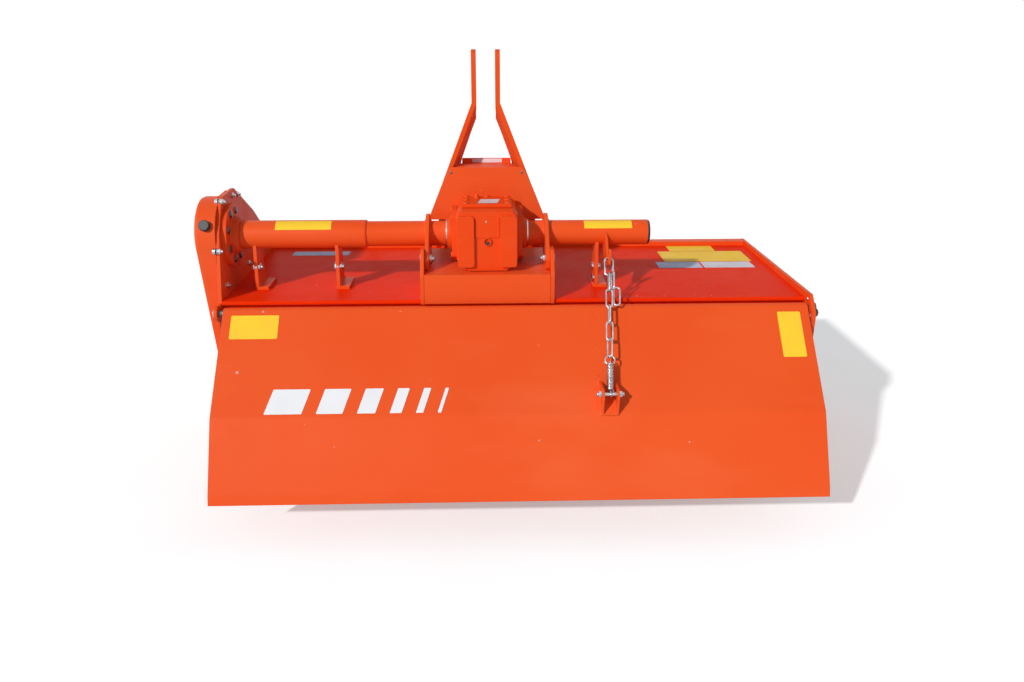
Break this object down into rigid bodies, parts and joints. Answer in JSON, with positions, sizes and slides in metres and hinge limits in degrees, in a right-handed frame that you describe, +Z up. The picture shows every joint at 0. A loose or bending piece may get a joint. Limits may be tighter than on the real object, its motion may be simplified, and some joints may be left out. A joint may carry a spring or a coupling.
{
  "type": "tractor-mounted rotavator",
  "caption": "Rotary tiller for a tractor's three-point linkage: gearbox, side gear drive, bladed rotor under a deck, and a hinged levelling board on a stay chain.",
  "frame": {"origin": "on the floor, under the middle of the whole machine's bounding box", "axes": "+Z up, +Y forward to the tractor, +X to the right of someone looking forward from behind"},
  "size_m": [1.4782, 0.9218, 1.026],
  "materials": {
    "orange_paint": "gloss",
    "blade_steel": "forged",
    "zinc_steel": "zinc plated",
    "bare_steel": "machined",
    "black_plastic": "matte"
  },
  "bodies": {
    "frame": {"chain_hook": "orange_paint", "deck_lug_left": "orange_paint", "deck_lug_right": "orange_paint", "deck_shell": "orange_paint", "drive_cover": "orange_paint", "drive_cover_plug": "black_plastic", "front_beam": "orange_paint", "gearbox_housing": "orange_paint", "gearbox_input_neck": "orange_paint", "gearbox_left_flange": "orange_paint", "gearbox_rear_cover": "orange_paint", "gearbox_right_flange": "orange_paint", "gearbox_top_cover": "orange_paint", "hinge_rod": "zinc_steel", "hitch_pin_left": "zinc_steel", "hitch_pin_right": "zinc_steel", "left_side_plate": "orange_paint", "left_tube": "orange_paint", "lower_hitch_left": "orange_paint", "lower_hitch_right": "orange_paint", "mast_arm_left": "orange_paint", "mast_arm_right": "orange_paint", "pto_shield": "orange_paint", "right_side_plate": "orange_paint", "right_tube": "orange_paint", "right_tube_cap": "black_plastic", "rotor_bearing_hub": "orange_paint", "saddle_pan": "orange_paint", "skid_left": "orange_paint", "skid_right": "orange_paint", "tube_bracket_end": "orange_paint", "tube_bracket_left": "orange_paint", "tube_bracket_right": "orange_paint", "tube_flange": "orange_paint", "tube_lug_left": "orange_paint", "tube_lug_right": "orange_paint"},
    "rotor": {"rotor_flange_1": "blade_steel", "rotor_flange_2": "blade_steel", "rotor_flange_3": "blade_steel", "rotor_flange_4": "blade_steel", "rotor_flange_5": "blade_steel", "rotor_flange_6": "blade_steel", "rotor_tube": "orange_paint"},
    "input_shaft": {"input_shaft": "bare_steel"},
    "levelling_board": {"levelling_board": "orange_paint", "board_clevis": "orange_paint", "clevis_bolt": "zinc_steel"},
    "stay_chain": {"stay_chain": "zinc_steel", "stay_spring": "zinc_steel"}
  },
  "joints": [
    {"name": "rotor_spin", "type": "hinge", "parent": "frame", "child": "rotor", "pos_m": [0.00515, 0.05206, 0.225], "axis": [1, 0, 0], "continuous": true},
    {"name": "input_spin", "type": "hinge", "parent": "frame", "child": "input_shaft", "pos_m": [-0.06085, 0.13206, 0.605], "axis": [0, 1, 0], "continuous": true},
    {"name": "board_lift", "type": "hinge", "parent": "frame", "child": "levelling_board", "pos_m": [0.00515, -0.19194, 0.455], "axis": [-1, 0, 0], "range_deg": [0, 45]},
    {"name": "stay_swing", "type": "hinge", "parent": "frame", "child": "stay_chain", "pos_m": [0.22515, -0.12994, 0.563], "axis": [-1, 0, 0], "range_deg": [0, 30.81]}
  ],
  "couplings": [
    {"joint": "input_spin", "follows": "rotor_spin", "ratio": -2.6},
    {"joint": "stay_swing", "follows": "board_lift", "ratio": 0.6735}
  ]
}
